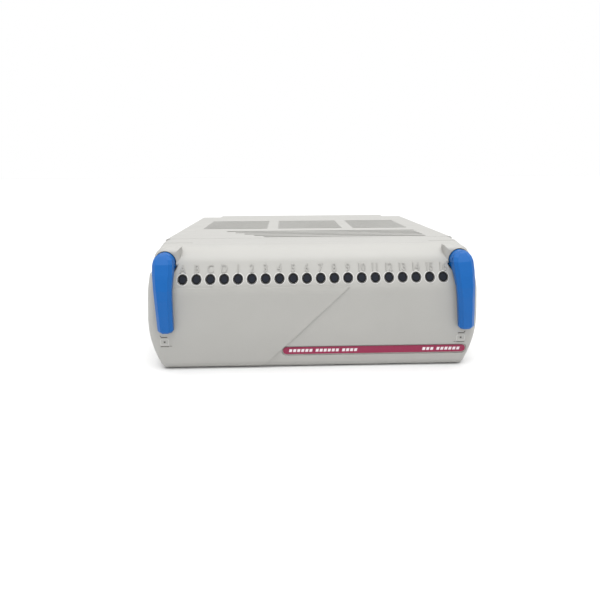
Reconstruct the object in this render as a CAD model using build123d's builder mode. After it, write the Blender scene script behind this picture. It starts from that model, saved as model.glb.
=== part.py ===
"""Plug-in input/output module for a controller rack, lying on its broad side.

Millimetres. +X runs along the row of lamps, +Y from the front face to the plugs, +Z up.
The origin is the middle of the flat underside. "Depth" is the distance behind the foremost
point of the front face, so a depth of 0 lies at Y = -CASE_DEPTH / 2.
"""

import os
from math import cos, radians, sin, tan

from build123d import *

# ---------------------------------------------------------------- driving dimensions
CASE_WIDTH = 122.4
CASE_DEPTH = 132.0
CASE_HEIGHT = 45.0
WALL = 2.0

FLANK_RADIUS = 40.0         # bulge of the two short sides
WIDEST_HEIGHT = 18.0        # where they stand out furthest
FLANK_LEAN = 4.1            # degrees they lean in above the bulge
FOOT_LEAN = 24.0            # and below it
FOOT_RADIUS = 2.6           # lower edges
CREST_RADIUS = 1.0          # long upper edges

COVER_DEPTH = 30.0          # where the front cover meets the two shells
PARTING_HEIGHT = 20.0       # where the lower shell meets the upper one
PANEL_THICKNESS = 3.0       # rear panel
FIT_GAP = 0.1
LIP_LENGTH = 3.0
LIP_THICKNESS = 1.4
CORNER_GROOVE = (18.5, 46.0, 58.2)      # depth, and the span of |x|
SEAM = 0.3                  # open joints between the mouldings

SHELL_BACK = CASE_DEPTH - PANEL_THICKNESS
TONGUE_THICKNESS = 1.0
SCREW_FIT = 0.02

# front face, as (depth, height) corners that are then rounded
CHIN = (0.6, 0.0)
BULGE = (0.0, 14.0)
BROW = (0.4, 31.0)
BAND_TILT = 30.0            # the lamp band leans back by this from upright
CROWN = (BROW[0] + (CASE_HEIGHT - BROW[1]) * tan(radians(BAND_TILT)), CASE_HEIGHT)
BULGE_RADIUS = 60.0
BROW_RADIUS = 10.0
CROWN_RADIUS = 11.0
END_RADIUS = 2.8            # upright edges at the two ends of the face

# lamps
LAMP_PITCH = 5.0
LAMP_COUNT = 20
STATUS_LAMPS = 4
LAMP_HEIGHT = 34.0
LAMP_RADIUS = 1.55
LAMP_SINK = 0.12            # how far the lens face lies below the band
LAMP_BACK = 11.6
LAMP_HOLE_RADIUS = 1.65

# latches
LATCH_X = 53.9
LATCH_Z = 40.0
HUB_RADIUS = 3.6
POCKET_RADIUS = 3.9
TUBE_RADIUS = 5.0
COLLAR_FRONT = 5.2
COLLAR_INNER_X = 48.4       # the blocks round the hub pockets lie between these
COLLAR_OUTER_X = 58.4
COLLAR_FOOT = 35.5
COLLAR_RADIUS = 4.5         # their rounded corners
COLLAR_EDGE = 2.5           # and their soft front edges
FLARE_INNER_X, FLARE_FOOT = 40.0, 25.0  # the corners widen behind the blocks
SWEEP_RADIUS = 4.8          # cleared in front of the blocks for the turning levers
POCKET_FLOOR = 8.0
FLOOR_THICKNESS = 1.5
CHEEK_HEIGHT = 35.8         # the ends of the cover step in above this
SHAFT_RADIUS = 2.0
SHAFT_HOLE_RADIUS = 2.06
TUNNEL_RADIUS = 3.0
HUB_BACK = 7.3
STOP_SLOT_RADIUS = 4.4
STOP_LUG_RADIUS = 4.1
STOP_START, STOP_END = 198.0, 308.0     # degrees from straight outwards, upwards
LUG_START, LUG_END = 200.0, 216.0
ARM_EDGE = 1.25
RIGHT_LATCH_LEAN = 5.0      # degrees: the right latch stands a little off its locked end
# level cuts through the lever: height, half-width, depth of its front, depth of its back
ARM_CUTS = (
    (15.4, 2.1, -3.3, -1.2), (16.2, 2.72, -3.75, -0.9), (22.0, 2.85, -3.95, -0.9), (27.5, 3.0, -3.85, -0.9),
    (31.0, 3.2, -3.5, -0.7), (35.0, 3.42, -2.55, 1.4), (36.4, 3.52, -2.1, 2.1), (37.6, 3.56, -1.65, 3.4),
    (40.0, 3.55, -0.8, 4.0), (41.6, 3.2, 0.2, 4.0), (42.8, 2.3, 1.0, 4.0), (43.5, 1.3, 1.6, 4.0),
)
NOTCH_INNER_X = 48.5        # rear corners, cut away round the bayonet keys
NOTCH_DEPTH = 123.0
NOTCH_HEIGHT = 34.0
BUSH_FLANGE_RADIUS = 4.2
BUSH_FLANGE = 0.8
BUSH_LENGTH = 4.0
CLIP_RADIUS = 3.6
CLIP_THICKNESS = 0.7
CLIP_GAP = 0.2
KEY_FRONT, KEY_BACK = 127.0, 130.5
KEY_HALF_LENGTH, KEY_HALF_HEIGHT = 4.4, 1.4
SHAFT_FRONT, SHAFT_END = 2.8, 131.5
NOTCH_OUTER_X = LATCH_X + TUBE_RADIUS - 1.0
CLIP_FRONT = NOTCH_DEPTH + BUSH_FLANGE + CLIP_GAP
CLIP_GROOVE_RADIUS = 1.5
HUB_FRONT = 2.2
PIN_RADIUS = 0.6
PIN_DEPTH = 6.0

# boards
BOARD_HALF_WIDTH = 49.5
BOARD_FRONT = 5.0
BOARD_BACK = 124.0
BOARD_THICKNESS = 1.6
FIELD_BOARD_Z = 9.0
LOGIC_BOARD_Z = 28.4
POST_RADIUS = 3.4
BOARD_SCREW_LENGTH = 6.0
HOLDER_FRONT, HOLDER_BACK, HOLDER_TOP = 6.5, 12.0, 35.7
LINK_DEPTH, LINK_LENGTH, LINK_SPLIT = 94.0, 42.0, 19.6
FIELD_TOP = FIELD_BOARD_Z + BOARD_THICKNESS
LOGIC_TOP = LOGIC_BOARD_Z + BOARD_THICKNESS
SPACER_X = 44.0
SPACER_DEPTHS = (38.0, 112.0)
SPACER_STUD_RADIUS = 1.5

# plugs at the back
PIN_PITCH = 2.54
MAIN_PLUG = (56.0, 11.0)    # width, height
MAIN_PLUG_X = 0.0
MAIN_ROWS, MAIN_COLUMNS = 3, 20
BUS_PLUG = (34.0, 8.5)
BUS_PLUG_X = -18.0
BUS_ROWS, BUS_COLUMNS = 2, 12
MAIN_PLUG_Z = FIELD_TOP + MAIN_PLUG[1] / 2
BUS_PLUG_Z = LOGIC_TOP + BUS_PLUG[1] / 2
PLUG_FRONT, PLUG_BACK = 112.0, 139.0
PIN_HOLE = 1.1
PIN_HOLE_DEPTH = 4.0
CONTACT_WIDTH = 0.6
PLUG_GAP = 0.2

# fasteners
CASE_SCREW_X = 51.5
CASE_SCREW_DEPTHS = (40.0, 112.0)
CASE_SCREW_RADIUS = 1.5
CASE_BOSS_RADIUS = 3.4
CASE_SCREW_TOP = 31.0
CASE_BOSS_TOP = 35.6
CASE_HEAD_RADIUS, CASE_HEAD_HEIGHT, CASE_HEAD_SINK = 2.9, 1.5, 0.3
REAR_SCREWS = ((53.4, 6.6), (42.0, 39.8))       # |x|, z
REAR_BOSS_RADIUS = 4.4
REAR_BOSS_FRONT = 120.0
REAR_SCREW_RADIUS = 1.25
REAR_HEAD_RADIUS, REAR_HEAD_HEIGHT = 2.3, 1.6

# label strip
STRIP_X = 22.8
STRIP_Z = 6.7
STRIP_LENGTH, STRIP_HEIGHT = 68.8, 2.75
STRIP_RECESS_MARGIN = 0.55
STRIP_FLOOR = 0.85
STRIP_THICKNESS = 0.3

# raised panel below the lamp band
PANEL_RISE = 0.4
PANEL_BACK = 1.6            # it stops at this depth on the rounded end
PANEL_TOP = 31.2
PANEL_CORNER_X = 12.9
PANEL_FOOT_X = -20.0

# ventilation slots
SLOT_WIDTH = 2.2
SLOT_PITCH = 4.6
REAR_GRIDS = ((-49.6, -18.6), (-13.9, 17.3), (22.2, 48.8))      # span of each in x
REAR_GRID_START = 64.0
REAR_GRID_ROWS = 8
FRONT_GRID_START = 33.4
FRONT_GRID_ROWS = 5
FRONT_GRID_LEFT = -19.5
FRONT_GRID_RIGHT = 49.5
FRONT_GRID_STEP = 4.4
SIDE_SLOT_START = 47.0
SIDE_SLOT_COUNT = 11
SIDE_SLOT_PITCH = 5.6
SIDE_SLOT_LENGTH = 9.0
UPPER_SIDE_SLOTS, LOWER_SIDE_SLOTS = 28.4, 11.8     # heights of their middles

SIDES = (("left", -1), ("right", 1))


# ---------------------------------------------------------------- helpers
def y_at(depth):
    """Y of a point that lies this far behind the foremost point of the face."""
    return depth - CASE_DEPTH / 2


def facing(depth):
    """Sketch plane across the module at a depth: sketch x is X and sketch y is Z.
    Extruding by a negative amount goes backwards, towards the plugs."""
    return Plane.XZ.offset(-y_at(depth))


def save(node, label):
    """Labels a finished piece and writes it."""
    shape = node.part
    shape.label = label
    export_step(shape, f"parts/{label}.step")


def case_outline():
    """The case's cross-section with its corners still sharp: the short sides bulge."""
    centre = CASE_WIDTH / 2 - FLANK_RADIUS
    low, high = radians(FOOT_LEAN), radians(FLANK_LEAN)
    low_x, low_z = centre + FLANK_RADIUS * cos(low), WIDEST_HEIGHT - FLANK_RADIUS * sin(low)
    high_x, high_z = centre + FLANK_RADIUS * cos(high), WIDEST_HEIGHT + FLANK_RADIUS * sin(high)
    foot_x = low_x - low_z * tan(low)
    top_x = high_x - (CASE_HEIGHT - high_z) * tan(high)
    with BuildSketch() as outline:
        with BuildLine():
            for _, side in SIDES:
                Line((side * foot_x, 0), (side * low_x, low_z))
                widest = (side * CASE_WIDTH / 2, WIDEST_HEIGHT)
                ThreePointArc((side * low_x, low_z), widest, (side * high_x, high_z))
                Line((side * high_x, high_z), (side * top_x, CASE_HEIGHT))
            Line((-foot_x, 0), (foot_x, 0))
            Line((-top_x, CASE_HEIGHT), (top_x, CASE_HEIGHT))
        make_face()
    return outline.sketch


def case_section(inset=0.0):
    """The case's cross-section, or its inner outline when inset."""
    with BuildSketch() as section:
        add(case_outline())
        if inset:
            offset(amount=-inset, kind=Kind.INTERSECTION, mode=Mode.REPLACE)
        fillet(section.vertices().group_by(Axis.Y)[0], max(FOOT_RADIUS - inset, 0.4))
        fillet(section.vertices().group_by(Axis.Y)[-1], max(CREST_RADIUS - inset, 0.4))
    return section.sketch


def face_profile(back, grow=0.0):
    """The cover's side view from the front face back to a depth, grown by an amount."""
    with BuildSketch() as profile:
        with BuildLine():
            Polyline(
                (y_at(back), 0), (y_at(CHIN[0]), CHIN[1]), (y_at(BULGE[0]), BULGE[1]),
                (y_at(BROW[0]), BROW[1]), (y_at(CROWN[0]), CROWN[1]), (y_at(back), CASE_HEIGHT),
                close=True,
            )
        make_face()
        rounds = ((BULGE, BULGE_RADIUS), (BROW, BROW_RADIUS), (CROWN, CROWN_RADIUS))
        for (depth, height), radius in rounds:
            fillet(profile.vertices().sort_by_distance((y_at(depth), height, 0))[0], radius)
        if grow:
            offset(amount=grow, kind=Kind.INTERSECTION, mode=Mode.REPLACE)
    return profile.sketch


def lamp_places(first, last):
    """(x, z) of the lamps first to last, counted from the left."""
    middle = (LAMP_COUNT - 1) / 2
    return [((i - middle) * LAMP_PITCH, LAMP_HEIGHT) for i in range(first, last)]


def screw_places():
    """(x, y) of the four screws that hold the two shells together."""
    return [(side * CASE_SCREW_X, y_at(depth)) for _, side in SIDES for depth in CASE_SCREW_DEPTHS]


def spacer_places():
    """(x, y) of the four posts that carry the boards."""
    return [(side * SPACER_X, y_at(depth)) for _, side in SIDES for depth in SPACER_DEPTHS]


def notch_squares():
    """The two cut-away upper corners of the rear end."""
    with BuildSketch() as squares:
        for _, side in SIDES:
            with Locations((side * NOTCH_INNER_X, NOTCH_HEIGHT)):
                Rectangle(20, 20, align=(Align.MIN if side > 0 else Align.MAX, Align.MIN))
    return squares.sketch


def mirrored(points):
    """The same points, and again on the other side of x = 0."""
    return [(side * x, *rest) for _, side in SIDES for x, *rest in points]


def grid_slots():
    """The ventilation slots of a broad side, seen from above."""
    with BuildSketch() as slots:
        for left, right in REAR_GRIDS:
            middles = [((left + right) / 2, y_at(REAR_GRID_START + SLOT_WIDTH / 2 + row * SLOT_PITCH))
                       for row in range(REAR_GRID_ROWS)]
            with Locations(*middles):
                SlotOverall(right - left, SLOT_WIDTH)
        for row in range(FRONT_GRID_ROWS):
            left = FRONT_GRID_LEFT - row * FRONT_GRID_STEP
            depth = FRONT_GRID_START + SLOT_WIDTH / 2 + row * SLOT_PITCH
            with Locations(((left + FRONT_GRID_RIGHT) / 2, y_at(depth))):
                SlotOverall(FRONT_GRID_RIGHT - left, SLOT_WIDTH)
    return slots.sketch


def side_slots(z_middle):
    """The upright slots of a short side, seen along X."""
    depths = [SIDE_SLOT_START + i * SIDE_SLOT_PITCH for i in range(SIDE_SLOT_COUNT)]
    with BuildSketch() as slots:
        with Locations(*[(y_at(depth), z_middle) for depth in depths]):
            SlotOverall(SIDE_SLOT_LENGTH, SLOT_WIDTH, rotation=90)
    return slots.sketch


def lip_gaps():
    """Where the cover's lip is left out: at the latch corners and at the parting line."""
    with BuildSketch() as gaps:
        for _, side in SIDES:
            with Locations((side * CASE_WIDTH / 2, CASE_HEIGHT)):
                Rectangle(30, 26)
            with Locations((side * CASE_WIDTH / 2, PARTING_HEIGHT)):
                Rectangle(14, 5)
    return gaps.sketch


def rounded_corner(side):
    """An upper corner as it stands beside a latch: upright, and round about its shaft."""
    with BuildSketch() as corner:
        with Locations((side * FLARE_INNER_X, FLARE_FOOT)):
            align = Align.MIN if side > 0 else Align.MAX
            Rectangle(COLLAR_OUTER_X - FLARE_INNER_X, CASE_HEIGHT - FLARE_FOOT, align=(align, Align.MIN))
        fillet(corner.vertices().sort_by_distance((side * COLLAR_OUTER_X, CASE_HEIGHT, 0))[0], COLLAR_RADIUS)
    return corner.sketch


def case_corner(side):
    """The upper corner of the full cross-section."""
    with BuildSketch() as corner:
        add(case_section())
        with Locations((side * FLARE_INNER_X, FLARE_FOOT)):
            align = Align.MIN if side > 0 else Align.MAX
            Rectangle(40.0, 40.0, align=(align, Align.MIN), mode=Mode.INTERSECT)
    return corner.sketch


def collar_blocks():
    """The outlines of the two blocks that carry the hub pockets, square at their upper inner ends."""
    with BuildSketch() as blocks:
        for _, side in SIDES:
            with Locations((side * COLLAR_INNER_X, COLLAR_FOOT)):
                align = Align.MIN if side > 0 else Align.MAX
                width, height = COLLAR_OUTER_X - COLLAR_INNER_X, CASE_HEIGHT - COLLAR_FOOT
                Rectangle(width, height, align=(align, Align.MIN))
        inner_tops = [(side * COLLAR_INNER_X, CASE_HEIGHT, 0) for _, side in SIDES]
        square = [blocks.vertices().sort_by_distance(place)[0] for place in inner_tops]
        fillet([corner for corner in blocks.vertices() if corner not in square], COLLAR_RADIUS)
    return blocks.sketch


def latch_discs(radius):
    """A disc about each latch shaft."""
    with BuildSketch() as discs:
        with Locations(*mirrored([(LATCH_X, LATCH_Z)])):
            Circle(radius)
    return discs.sketch


def ring_sector(side, inner, outer, start, end):
    """Part of a ring about a latch shaft; angles from straight outwards, upwards."""
    if side < 0:
        start, end = 180 - end, 180 - start
    centre = (side * LATCH_X, LATCH_Z)
    with BuildSketch() as sector:
        with BuildLine():
            far = CenterArc(centre, outer, start, end - start)
            near = CenterArc(centre, inner, start, end - start)
            Line(far @ 0, near @ 0)
            Line(far @ 1, near @ 1)
        make_face()
    return sector.sketch


os.makedirs("parts", exist_ok=True)

# ---------------------------------------------------------------- front cover
def cover_block(grow=0.0):
    """The cover's outer shape with its face moved forward by an amount."""
    with BuildPart() as block:
        with BuildSketch(Plane.YZ):
            add(face_profile(COVER_DEPTH, grow))
        extrude(amount=CASE_WIDTH, both=True)
        with BuildSketch(facing(-5)):
            add(case_outline())
        extrude(amount=-(COVER_DEPTH + 5), mode=Mode.INTERSECT)
        ends = [edge for edge in block.edges() if abs(edge.center().X) > 55 and edge.center().Y < y_at(12)
                and 0.2 < edge.center().Z < CASE_HEIGHT - 0.2]
        fillet(ends, END_RADIUS + grow)
        foot = [edge for edge in block.edges() if edge.bounding_box().max.Z < 0.01
                and edge.center().Y < y_at(COVER_DEPTH - 0.5)]
        fillet(foot, FOOT_RADIUS + grow)
    return block.part


with BuildPart() as cover_cavity:
    with BuildSketch(Plane.YZ):
        add(face_profile(COVER_DEPTH + 20, grow=-WALL))
    extrude(amount=CASE_WIDTH, both=True)
    with BuildSketch(facing(-5)):
        add(case_section(WALL))
    extrude(amount=-100, mode=Mode.INTERSECT)
    # solid floors of the hub pockets, and tubes for the shafts
    with BuildSketch(facing(0)):
        add(collar_blocks())
    extrude(amount=-(POCKET_FLOOR + FLOOR_THICKNESS), mode=Mode.SUBTRACT)
    with BuildSketch(facing(POCKET_FLOOR)):
        add(latch_discs(TUBE_RADIUS))
    extrude(amount=-100, mode=Mode.SUBTRACT)

with BuildPart() as raised_panel:
    add(cover_block(PANEL_RISE))
    with BuildSketch(facing(-5)):
        with BuildLine():
            Polyline((-CASE_WIDTH / 2 - 1, 0.9), (PANEL_FOOT_X + 0.9, 0.9), (PANEL_CORNER_X, PANEL_TOP),
                     (-CASE_WIDTH / 2 - 1, PANEL_TOP), close=True)
        make_face()
    extrude(amount=-(5 + PANEL_BACK), mode=Mode.INTERSECT)

# what is cut away outside the collar blocks, and outside the corners that widen behind them
with BuildPart() as corner_cuts:
    for _, side in SIDES:
        with BuildPart() as flare:
            with BuildSketch(facing(-5)):
                add(rounded_corner(side))
            extrude(amount=-(5 + POCKET_FLOOR + FLOOR_THICKNESS))
            with BuildSketch(facing(POCKET_FLOOR + FLOOR_THICKNESS)):
                add(rounded_corner(side))
            with BuildSketch(facing(COVER_DEPTH)):
                add(case_corner(side))
            loft(ruled=True)
        with BuildSketch(facing(-5)):
            with Locations((side * 50.0, CHEEK_HEIGHT)):
                Rectangle(15.0, 12.0, align=(Align.MIN if side > 0 else Align.MAX, Align.MIN))
        extrude(amount=-(5 + COVER_DEPTH))
        add(flare.part, mode=Mode.SUBTRACT)

with BuildPart() as latch_corners:
    with BuildSketch(facing(COLLAR_FRONT)):
        add(collar_blocks())
    extrude(amount=-(POCKET_FLOOR + FLOOR_THICKNESS - COLLAR_FRONT))
    fillet(latch_corners.edges().group_by(Axis.Y)[0], COLLAR_EDGE)

with BuildPart() as front_cover:
    add(cover_block())
    add(raised_panel.part)
    add(corner_cuts.part, mode=Mode.SUBTRACT)
    add(latch_corners.part)
    add(cover_cavity.part, mode=Mode.SUBTRACT)
    # lip that seats inside the two shells
    with BuildSketch(facing(COVER_DEPTH - LIP_LENGTH)):
        add(case_section(WALL / 2))
        add(case_section(WALL + LIP_THICKNESS), mode=Mode.SUBTRACT)
        add(lip_gaps(), mode=Mode.SUBTRACT)
    extrude(amount=-LIP_LENGTH)
    with BuildSketch(facing(COVER_DEPTH)):
        add(case_section(WALL + FIT_GAP))
        add(case_section(WALL + LIP_THICKNESS), mode=Mode.SUBTRACT)
        add(lip_gaps(), mode=Mode.SUBTRACT)
    extrude(amount=-LIP_LENGTH)
    # bores, hub pockets and the arc slots for the stop lugs
    with BuildSketch(facing(0)):
        add(latch_discs(SHAFT_HOLE_RADIUS))
    extrude(amount=-COVER_DEPTH, mode=Mode.SUBTRACT)
    with BuildSketch(facing(0)):
        add(latch_discs(POCKET_RADIUS))
    extrude(amount=-POCKET_FLOOR, mode=Mode.SUBTRACT)
    with BuildSketch(facing(0)):
        add(latch_discs(SWEEP_RADIUS))
    extrude(amount=-COLLAR_FRONT, mode=Mode.SUBTRACT)
    with BuildSketch(facing(POCKET_FLOOR + FLOOR_THICKNESS)):
        add(latch_discs(TUNNEL_RADIUS))
    extrude(amount=-COVER_DEPTH, mode=Mode.SUBTRACT)
    with BuildSketch(facing(0)):
        for _, side in SIDES:
            add(ring_sector(side, POCKET_RADIUS - 0.5, STOP_SLOT_RADIUS, STOP_START, STOP_END))
    extrude(amount=-POCKET_FLOOR, mode=Mode.SUBTRACT)
    # lamp windows
    with BuildSketch(facing(-2)):
        with Locations(*lamp_places(0, LAMP_COUNT)):
            Circle(LAMP_HOLE_RADIUS)
    extrude(amount=-14, mode=Mode.SUBTRACT)
    # recess for the label strip
    with BuildSketch(facing(STRIP_FLOOR)):
        with Locations((STRIP_X, STRIP_Z)):
            SlotOverall(STRIP_LENGTH + 2 * STRIP_RECESS_MARGIN, STRIP_HEIGHT + 2 * STRIP_RECESS_MARGIN)
    extrude(amount=5, mode=Mode.SUBTRACT)
    # short groove across each upper corner
    with BuildSketch(Plane.XY.offset(CASE_HEIGHT - 0.3)):
        depth, near, far = CORNER_GROOVE
        with Locations(*mirrored([((near + far) / 2, y_at(depth))])):
            Rectangle(far - near, 0.45)
    extrude(amount=1, mode=Mode.SUBTRACT)
save(front_cover, "front_cover")

# ---------------------------------------------------------------- shells
with BuildPart() as shell_blank:
    with BuildSketch(facing(COVER_DEPTH)):
        add(case_section())
    extrude(amount=-(SHELL_BACK - COVER_DEPTH))
    with BuildSketch(facing(COVER_DEPTH)):
        add(case_section(WALL))
    extrude(amount=-(SHELL_BACK - COVER_DEPTH), mode=Mode.SUBTRACT)
    # open joint to the cover
    with BuildSketch(facing(COVER_DEPTH)):
        add(case_section())
        add(case_section(SEAM), mode=Mode.SUBTRACT)
    extrude(amount=-SEAM, mode=Mode.SUBTRACT)
    # tubes for the latch shafts
    with BuildSketch(facing(COVER_DEPTH + SEAM)):
        add(latch_discs(TUBE_RADIUS))
    extrude(amount=-(NOTCH_DEPTH - COVER_DEPTH - SEAM))
    with BuildSketch(facing(COVER_DEPTH)):
        add(latch_discs(TUNNEL_RADIUS))
    extrude(amount=-(SHELL_BACK - COVER_DEPTH), mode=Mode.SUBTRACT)
    # screw bosses
    with BuildSketch(Plane.XY.offset(WALL / 2)):
        with Locations(*screw_places()):
            Circle(CASE_BOSS_RADIUS)
    extrude(amount=CASE_BOSS_TOP - WALL / 2)
    with BuildSketch(facing(REAR_BOSS_FRONT)):
        with Locations(*mirrored(REAR_SCREWS)):
            Circle(REAR_BOSS_RADIUS)
    extrude(amount=-(SHELL_BACK - REAR_BOSS_FRONT))
    with BuildSketch(facing(COVER_DEPTH)):
        add(case_section())
    extrude(amount=-(SHELL_BACK - COVER_DEPTH), mode=Mode.INTERSECT)

with BuildPart() as top_shell:
    add(shell_blank.part)
    with BuildSketch(Plane.XY.offset(PARTING_HEIGHT)):
        Rectangle(CASE_WIDTH * 2, CASE_DEPTH * 2)
    extrude(amount=CASE_HEIGHT, mode=Mode.INTERSECT)
    # walls of the rear notches
    with BuildSketch(facing(NOTCH_DEPTH - WALL)):
        with Locations(*mirrored([((NOTCH_INNER_X - WALL + NOTCH_OUTER_X) / 2, NOTCH_HEIGHT - WALL)])):
            Rectangle(NOTCH_OUTER_X - NOTCH_INNER_X + WALL, CASE_HEIGHT - 1 - NOTCH_HEIGHT + WALL,
                      align=(Align.CENTER, Align.MIN))
        add(latch_discs(TUNNEL_RADIUS), mode=Mode.SUBTRACT)
    extrude(amount=-(SHELL_BACK - NOTCH_DEPTH + WALL))
    with BuildSketch(facing(NOTCH_DEPTH)):
        add(notch_squares())
    extrude(amount=-20, mode=Mode.SUBTRACT)
    with BuildSketch(Plane.XY.offset(CASE_HEIGHT - WALL - 1)):
        add(grid_slots())
    extrude(amount=WALL + 2, mode=Mode.SUBTRACT)
    for _, side in SIDES:
        with BuildSketch(Plane.YZ.offset(side * (CASE_WIDTH / 2 + 1))):
            add(side_slots(UPPER_SIDE_SLOTS))
        extrude(amount=-side * (WALL + 3), mode=Mode.SUBTRACT)
    with BuildSketch(Plane.XY.offset(PARTING_HEIGHT)):
        with Locations(*screw_places()):
            Circle(CASE_SCREW_RADIUS + SCREW_FIT)
    extrude(amount=CASE_SCREW_TOP - PARTING_HEIGHT + 0.5, mode=Mode.SUBTRACT)
    with BuildSketch(facing(REAR_BOSS_FRONT + 0.5)):
        with Locations(*mirrored(REAR_SCREWS[1:])):
            Circle(REAR_SCREW_RADIUS + SCREW_FIT)
    extrude(amount=-20, mode=Mode.SUBTRACT)
save(top_shell, "top_shell")

with BuildPart() as bottom_shell:
    add(shell_blank.part)
    with BuildSketch(Plane.XY):
        Rectangle(CASE_WIDTH * 2, CASE_DEPTH * 2)
    extrude(amount=PARTING_HEIGHT, mode=Mode.INTERSECT)
    # open joint to the upper shell
    with BuildSketch(Plane.XY.offset(PARTING_HEIGHT - SEAM)):
        Rectangle(CASE_WIDTH + 2, 2 * CASE_DEPTH)
        Rectangle(CASE_WIDTH - 2 * SEAM, 2 * CASE_DEPTH, mode=Mode.SUBTRACT)
    extrude(amount=SEAM + 1, mode=Mode.SUBTRACT)
    # tongue that locates the upper shell
    with BuildSketch(Plane.XY.offset(PARTING_HEIGHT - 2.0)):
        for _, side in SIDES:
            with Locations((side * (CASE_WIDTH / 2 - WALL - FIT_GAP - 0.05), y_at(74.0))):
                Rectangle(TONGUE_THICKNESS, 60.0, align=(Align.MIN if side < 0 else Align.MAX, Align.CENTER))
    extrude(amount=3.2)
    with BuildSketch(Plane.XY.offset(PARTING_HEIGHT - 2.0)):
        for _, side in SIDES:
            with Locations((side * (CASE_WIDTH / 2 - WALL), y_at(74.0))):
                Rectangle(1.0, 60.0)
    extrude(amount=2.0)
    # posts under the field board
    with BuildSketch(Plane.XY.offset(WALL / 2)):
        with Locations(*spacer_places()):
            Circle(POST_RADIUS)
    extrude(amount=FIELD_BOARD_Z - WALL / 2)
    with BuildSketch(Plane.XY.offset(-1)):
        add(grid_slots())
        with Locations(*spacer_places()):
            Circle(POST_RADIUS + 0.6, mode=Mode.SUBTRACT)
    extrude(amount=WALL + 2, mode=Mode.SUBTRACT)
    for _, side in SIDES:
        with BuildSketch(Plane.YZ.offset(side * (CASE_WIDTH / 2 + 1))):
            add(side_slots(LOWER_SIDE_SLOTS))
        extrude(amount=-side * (WALL + 4), mode=Mode.SUBTRACT)
    with BuildSketch(Plane.XY.offset(WALL + 1)):
        with Locations(*spacer_places()):
            Circle(SPACER_STUD_RADIUS + SCREW_FIT)
    extrude(amount=FIELD_BOARD_Z, mode=Mode.SUBTRACT)
    with BuildSketch(Plane.XY.offset(-1)):
        with Locations(*screw_places()):
            Circle(CASE_SCREW_RADIUS + FIT_GAP)
    extrude(amount=PARTING_HEIGHT + 2, mode=Mode.SUBTRACT)
    with Locations(*[(x, y, CASE_HEAD_SINK + CASE_HEAD_HEIGHT / 2) for x, y in screw_places()]):
        Cone(CASE_HEAD_RADIUS + FIT_GAP, CASE_SCREW_RADIUS + FIT_GAP, CASE_HEAD_HEIGHT, mode=Mode.SUBTRACT)
    with Locations(*[(x, y, CASE_HEAD_SINK / 2) for x, y in screw_places()]):
        Cylinder(CASE_HEAD_RADIUS + FIT_GAP, CASE_HEAD_SINK, mode=Mode.SUBTRACT)
    with BuildSketch(facing(REAR_BOSS_FRONT + 0.5)):
        with Locations(*mirrored(REAR_SCREWS[:1])):
            Circle(REAR_SCREW_RADIUS + SCREW_FIT)
    extrude(amount=-20, mode=Mode.SUBTRACT)
save(bottom_shell, "bottom_shell")

# ---------------------------------------------------------------- rear panel
with BuildPart() as rear_panel:
    with BuildSketch(facing(SHELL_BACK)):
        add(case_section())
        add(notch_squares(), mode=Mode.SUBTRACT)
        with Locations((MAIN_PLUG_X, MAIN_PLUG_Z)):
            Rectangle(MAIN_PLUG[0] + 2 * PLUG_GAP, MAIN_PLUG[1] + 2 * PLUG_GAP, mode=Mode.SUBTRACT)
        with Locations((BUS_PLUG_X, BUS_PLUG_Z)):
            Rectangle(BUS_PLUG[0] + 2 * PLUG_GAP, BUS_PLUG[1] + 2 * PLUG_GAP, mode=Mode.SUBTRACT)
        with Locations(*mirrored(REAR_SCREWS)):
            Circle(REAR_SCREW_RADIUS + FIT_GAP, mode=Mode.SUBTRACT)
    extrude(amount=-PANEL_THICKNESS)
    outline = rear_panel.faces().sort_by(Axis.Y)[-1].outer_wire().edges()
    chamfer(outline, 0.4)
    with BuildSketch(facing(CASE_DEPTH - REAR_HEAD_HEIGHT)):
        with Locations(*mirrored(REAR_SCREWS)):
            Circle(REAR_HEAD_RADIUS + 2 * FIT_GAP)
    extrude(amount=-5, mode=Mode.SUBTRACT)
save(rear_panel, "rear_panel")

# ---------------------------------------------------------------- latches
def latch_lever(side):
    """One lever, hanging straight down from its shaft."""
    with BuildPart() as lever:
        for height, half, front, back in ARM_CUTS:
            edge = min(ARM_EDGE, half * 0.55)
            right = [(half, back), (half, front + edge), (half - edge, front)]
            points = right + [(-x, depth) for x, depth in right[::-1]]
            with BuildSketch(Plane.XY.offset(height)):
                with BuildLine():
                    Polyline(*[(side * LATCH_X + x, y_at(depth)) for x, depth in points], close=True)
                make_face()
        loft(ruled=True)
        with BuildSketch(facing(HUB_FRONT)):
            with Locations((side * LATCH_X, LATCH_Z)):
                Circle(HUB_RADIUS)
        extrude(amount=-(HUB_BACK - HUB_FRONT))
        with BuildSketch(facing(HUB_BACK - 3.0)):
            add(ring_sector(side, HUB_RADIUS - 0.5, STOP_LUG_RADIUS, LUG_START, LUG_END))
        extrude(amount=-3.0)
        with BuildSketch(facing(SHAFT_FRONT)):
            with Locations((side * LATCH_X, LATCH_Z)):
                Circle(SHAFT_RADIUS + SCREW_FIT)
        extrude(amount=-20, mode=Mode.SUBTRACT)
        with Locations((side * LATCH_X, y_at(PIN_DEPTH), LATCH_Z)):
            Cylinder(PIN_RADIUS + SCREW_FIT, 2 * HUB_RADIUS + 2, rotation=(0, 90, 0), mode=Mode.SUBTRACT)
    return lever


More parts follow.
